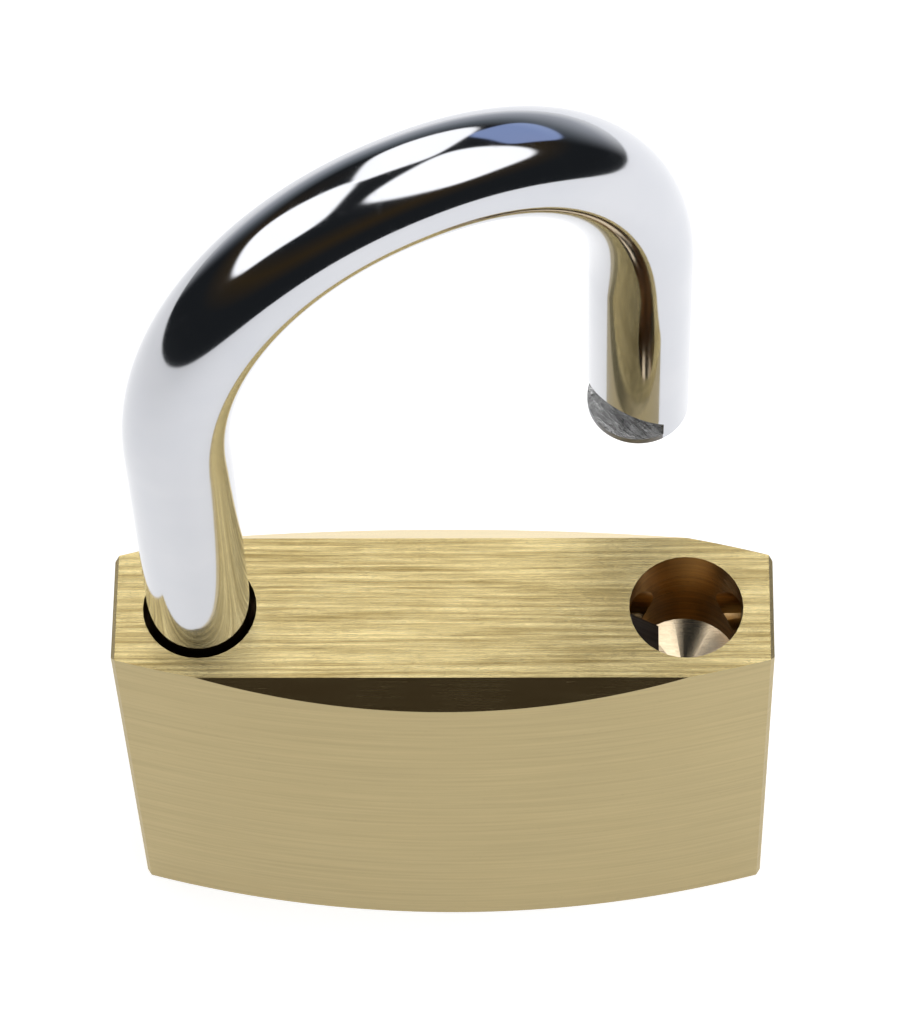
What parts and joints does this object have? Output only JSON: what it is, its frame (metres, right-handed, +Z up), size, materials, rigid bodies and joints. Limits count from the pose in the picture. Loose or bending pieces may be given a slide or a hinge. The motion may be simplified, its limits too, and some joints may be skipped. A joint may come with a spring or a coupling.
{
  "type": "padlock",
  "caption": "Pin tumbler padlock with a lens-shaped solid brass case, bevelled along the top, and a round chromed shackle, stored open: lifted and swung to the back.",
  "frame": {"origin": "centre of the case's flat bottom face", "axes": "+X along the case's width towards the toe hole, +Y towards the back, +Z up along the shackle's legs"},
  "size_m": [0.05, 0.0275, 0.0877],
  "materials": {
    "case_brass": "satin, brushed lengthwise",
    "brass": "machined",
    "chrome": "polished",
    "steel": "machined and hardened",
    "spring_steel": "drawn wire"
  },
  "bodies": {
    "lock_body": {"case_body": "case_brass", "heel_retaining_pin": "steel", "shackle_spring": "spring_steel", "cylinder_retaining_pin": "steel", "latch_spring": "spring_steel", "latch_bore_plug": "brass", "pin_spring_1": "spring_steel", "pin_spring_2": "spring_steel", "pin_spring_3": "spring_steel", "pin_spring_4": "spring_steel", "pin_spring_5": "spring_steel", "chamber_plug_1": "brass", "chamber_plug_2": "brass", "chamber_plug_3": "brass", "chamber_plug_4": "brass", "chamber_plug_5": "brass"},
    "lift_cap": {"spring_cap": "steel"},
    "shackle": {"shackle": "chrome"},
    "plug": {"cylinder_plug": "brass", "cam": "steel"},
    "latch": {"latch_bolt": "steel"},
    "driver_1": {"driver_pin_1": "steel"},
    "key_pin_1": {"key_pin_1": "brass"},
    "driver_2": {"driver_pin_2": "steel"},
    "key_pin_2": {"key_pin_2": "brass"},
    "driver_3": {"driver_pin_3": "steel"},
    "key_pin_3": {"key_pin_3": "brass"},
    "driver_4": {"driver_pin_4": "steel"},
    "key_pin_4": {"key_pin_4": "brass"},
    "driver_5": {"driver_pin_5": "steel"},
    "key_pin_5": {"key_pin_5": "brass"}
  },
  "joints": [
    {"name": "shackle_lift", "type": "slide", "parent": "lock_body", "child": "lift_cap", "axis": [0, 0, 1], "range_m": [-0.0119, 0], "stiffness_N_per_m": 100, "springref_m": 0.015, "deforming": ["shackle_spring"]},
    {"name": "shackle_swing", "type": "hinge", "parent": "lift_cap", "child": "shackle", "pos_m": [-0.0184, 0, 0.04], "axis": [0, 0, 1], "range_deg": [-25.4, 154.6]},
    {"name": "plug_turn", "type": "hinge", "parent": "lock_body", "child": "plug", "pos_m": [-0.007, 0, 0.013], "axis": [0, 0, 1], "range_deg": [0, 90]},
    {"name": "latch_slide", "type": "slide", "parent": "lock_body", "child": "latch", "axis": [-1, 0, 0], "range_m": [0, 0.00269], "stiffness_N_per_m": 200, "springref_m": -0.003, "deforming": ["latch_spring"]},
    {"name": "driver_slide_1", "type": "slide", "parent": "lock_body", "child": "driver_1", "axis": [1, 0, 0], "range_m": [-0.0012, 0]},
    {"name": "key_pin_slide_1", "type": "slide", "parent": "plug", "child": "key_pin_1", "axis": [1, 0, 0], "range_m": [-0.0012, 0]},
    {"name": "driver_slide_2", "type": "slide", "parent": "lock_body", "child": "driver_2", "axis": [1, 0, 0], "range_m": [-0.0012, 0]},
    {"name": "key_pin_slide_2", "type": "slide", "parent": "plug", "child": "key_pin_2", "axis": [1, 0, 0], "range_m": [-0.0012, 0]},
    {"name": "driver_slide_3", "type": "slide", "parent": "lock_body", "child": "driver_3", "axis": [1, 0, 0], "range_m": [-0.0012, 0]},
    {"name": "key_pin_slide_3", "type": "slide", "parent": "plug", "child": "key_pin_3", "axis": [1, 0, 0], "range_m": [-0.0012, 0]},
    {"name": "driver_slide_4", "type": "slide", "parent": "lock_body", "child": "driver_4", "axis": [1, 0, 0], "range_m": [-0.0012, 0]},
    {"name": "key_pin_slide_4", "type": "slide", "parent": "plug", "child": "key_pin_4", "axis": [1, 0, 0], "range_m": [-0.0012, 0]},
    {"name": "driver_slide_5", "type": "slide", "parent": "lock_body", "child": "driver_5", "axis": [1, 0, 0], "range_m": [-0.0012, 0]},
    {"name": "key_pin_slide_5", "type": "slide", "parent": "plug", "child": "key_pin_5", "axis": [1, 0, 0], "range_m": [-0.0012, 0]}
  ],
  "couplings": [
    {"joint": "plug_turn", "follows": "latch_slide", "rad_per_m": 584.59},
    {"joint": "key_pin_slide_1", "follows": "driver_slide_1", "ratio": 1},
    {"joint": "key_pin_slide_2", "follows": "driver_slide_2", "ratio": 1},
    {"joint": "key_pin_slide_3", "follows": "driver_slide_3", "ratio": 1},
    {"joint": "key_pin_slide_4", "follows": "driver_slide_4", "ratio": 1},
    {"joint": "key_pin_slide_5", "follows": "driver_slide_5", "ratio": 1}
  ]
}
